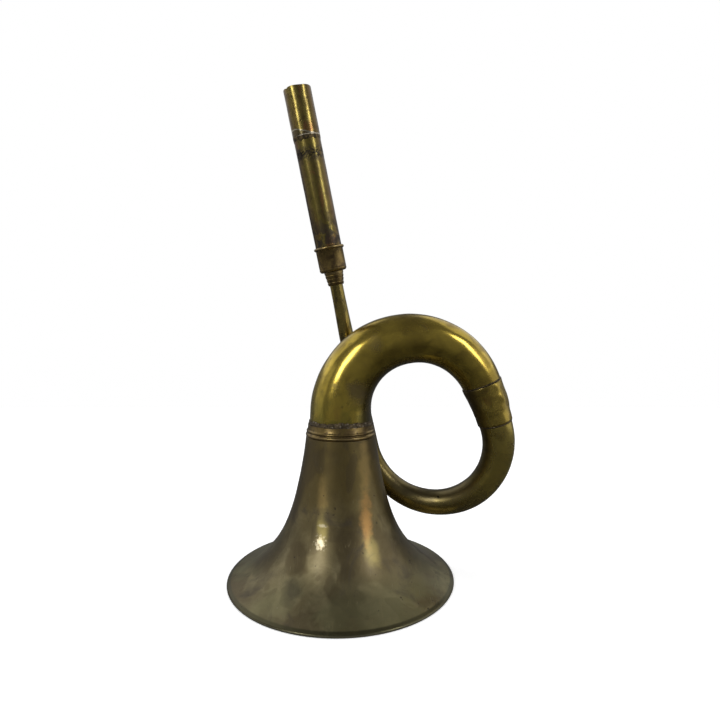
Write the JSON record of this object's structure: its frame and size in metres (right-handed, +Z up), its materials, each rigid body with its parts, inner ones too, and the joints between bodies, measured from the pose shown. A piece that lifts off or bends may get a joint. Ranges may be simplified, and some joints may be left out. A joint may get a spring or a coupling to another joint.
{
  "type": "single-coil brass reed horn",
  "caption": "Single-coil brass reed horn with a flared bell, a tapered loop, a thin lead pipe and a straight barrel, standing on its bell.",
  "frame": {"origin": "centre of the bell mouth, on the plane of the worn flat that the rim stands on", "axes": "+Z is up, out of the back of the bell and along its axis; +X points from the bell towards the side of the coil; +Y points away from the viewer, to the side where the lead pipe passes behind the coil"},
  "size_m": [0.2034, 0.16, 0.3469],
  "materials": {
    "bell_brass": "dull brown-grey patina with rubbed streaks, scratches and a copper-coloured worn patch",
    "rim_steel": "plain drawn steel wire, closed inside the rolled rim",
    "ferrule_brass": "dark tarnished turned brass with rubbed edges",
    "solder": "rough dark soft solder with small bright flecks",
    "bend_brass": "olive-golden aged brass, brightest where it is handled",
    "tail_brass": "dark olive-brown aged brass",
    "barrel_brass": "aged brass with reddish copper tones, dark blotches and fine cracks",
    "inner_brass": "plain yellow brass, lightly tarnished",
    "reed_bronze": "springy rolled phosphor bronze strip"
  },
  "bodies": {
    "horn": {"bell": "bell_brass", "rim_wire": "rim_steel", "throat_ferrule": "ferrule_brass", "throat_solder": "solder", "main_bend": "bend_brass", "joint_sleeve": "ferrule_brass", "joint_solder": "solder", "tail_pipe": "tail_brass", "nipple": "ferrule_brass", "reed_cup": "ferrule_brass"},
    "mouth_tube": {"barrel": "barrel_brass", "tenon": "inner_brass", "end_sleeve": "barrel_brass", "seam_coupling": "inner_brass", "seam_solder": "solder"},
    "reed": {"reed_block": "inner_brass", "tongue_clamp": "inner_brass", "clamp_screws": "inner_brass"},
    "tongue": {"reed_tongue": "reed_bronze"}
  },
  "joints": [
    {"name": "mouth_tube_pull", "type": "slide", "parent": "horn", "child": "mouth_tube", "axis": [-0.1923, -0.0958, 0.9766], "range_m": [0, 0.06]},
    {"name": "reed_pull", "type": "slide", "parent": "horn", "child": "reed", "axis": [-0.1923, -0.0958, 0.9766], "range_m": [0, 0.012]},
    {"name": "tongue_flex", "type": "hinge", "parent": "reed", "child": "tongue", "pos_m": [-0.01267, 0.01772, 0.25702], "axis": [-0.8743, -0.4353, -0.2148], "range_deg": [-1.5, 1.5], "stiffness_Nm_per_rad": 0.078}
  ]
}
